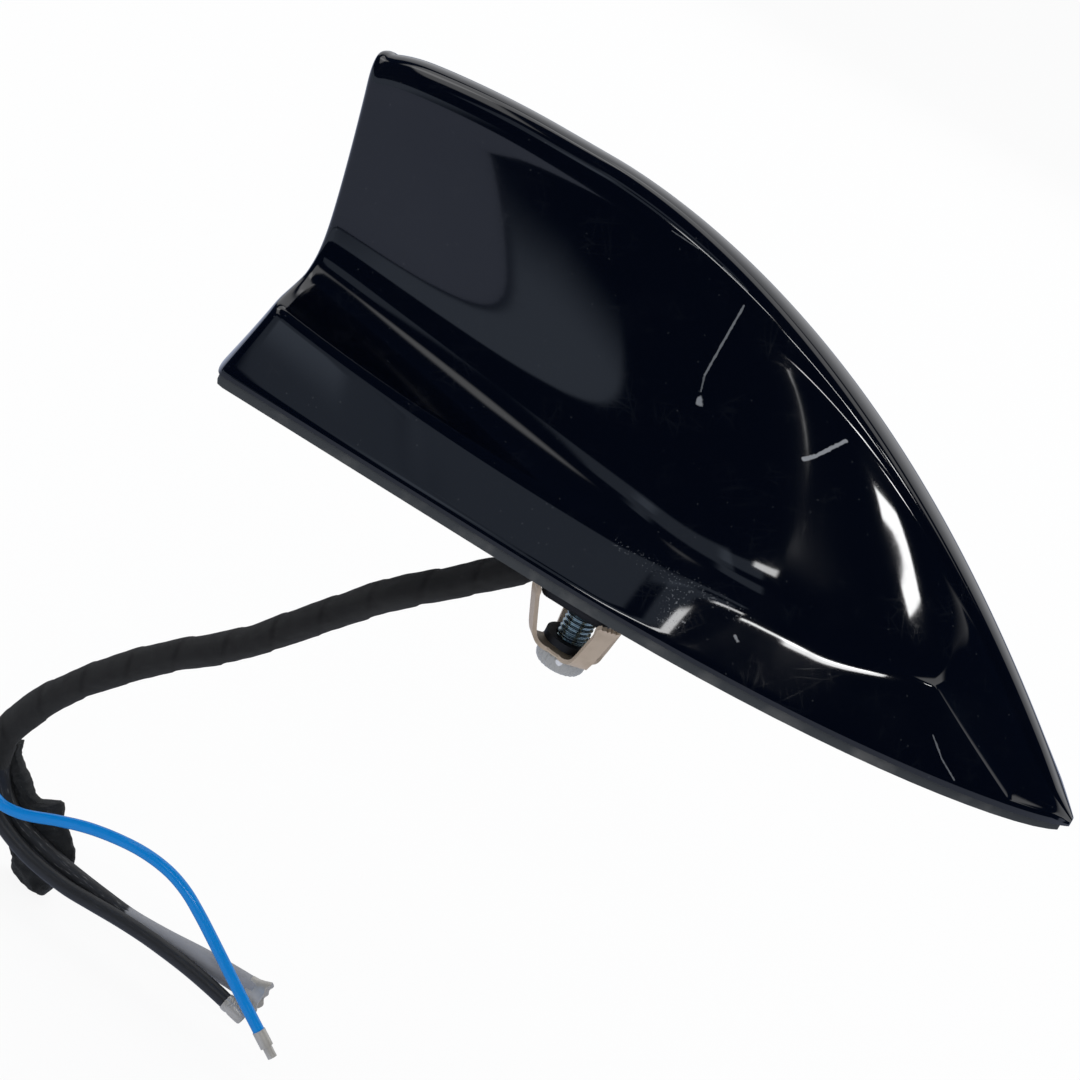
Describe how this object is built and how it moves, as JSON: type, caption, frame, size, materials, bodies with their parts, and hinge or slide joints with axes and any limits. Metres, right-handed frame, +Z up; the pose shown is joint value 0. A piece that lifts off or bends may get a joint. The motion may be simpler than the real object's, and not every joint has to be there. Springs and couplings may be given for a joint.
{
  "type": "shark fin roof aerial",
  "caption": "Glossy black fin-shaped roof aerial on a rubber gasket, with a clamp bolt and spring claw below and a taped loom ending in loose leads.",
  "frame": {"origin": "where the clamp bolt's axis meets the roof plane, which the gasket's underside lies on", "axes": "+X to the nose, +Z up from the roof, +Y to the vehicle's left when the nose faces forward"},
  "size_m": [0.1897, 0.066, 0.1946],
  "materials": {
    "gloss_paint": "gloss black paint over moulded plastic",
    "gasket_rubber": "matt, lightly dusted",
    "cast_alloy": "as cast, fine grain",
    "bright_zinc": "bright zinc with a blue cast",
    "spring_steel": "passivated, yellow to beige",
    "black_nylon": "matt moulded",
    "board_laminate": "satin solder mask",
    "tinned_steel": "bright tin",
    "patch_ceramic": "unglazed",
    "silver_film": "fired silver",
    "copper": "bare copper",
    "foam": "open cell foam",
    "chip_black": "moulded epoxy",
    "cloth_tape": "woven cloth tape, dusty",
    "blue_jacket": "extruded, satin to gloss",
    "black_jacket": "extruded, satin",
    "grey_jacket": "extruded, satin",
    "crimp_metal": "tinned, worn"
  },
  "bodies": {
    "root": {"fin_cover": "gloss_paint", "roof_gasket": "gasket_rubber", "base_plate": "cast_alloy", "cover_screws": "bright_zinc", "neck_sleeve": "black_nylon", "clamp_bolt": "bright_zinc", "roof_claw": "spring_steel", "claw_ring": "black_nylon", "cable_grommet": "gasket_rubber", "main_board": "board_laminate", "board_screws": "bright_zinc", "shield_can": "tinned_steel", "patch_pad": "foam", "satellite_patch": "patch_ceramic", "patch_electrode": "silver_film", "patch_pin": "tinned_steel", "mast_foot": "black_nylon", "mast_board": "board_laminate", "mast_trace": "copper", "mast_foam": "foam", "loading_coil": "copper", "amplifier_chips": "chip_black", "board_leads": "black_jacket", "lead_clips": "tinned_steel", "loom_sleeve": "cloth_tape", "tape_end": "cloth_tape", "blue_lead": "blue_jacket", "black_lead": "black_jacket", "grey_lead": "grey_jacket", "blue_contact": "crimp_metal", "black_contact": "crimp_metal", "grey_contact": "crimp_metal"}
  },
  "joints": []
}
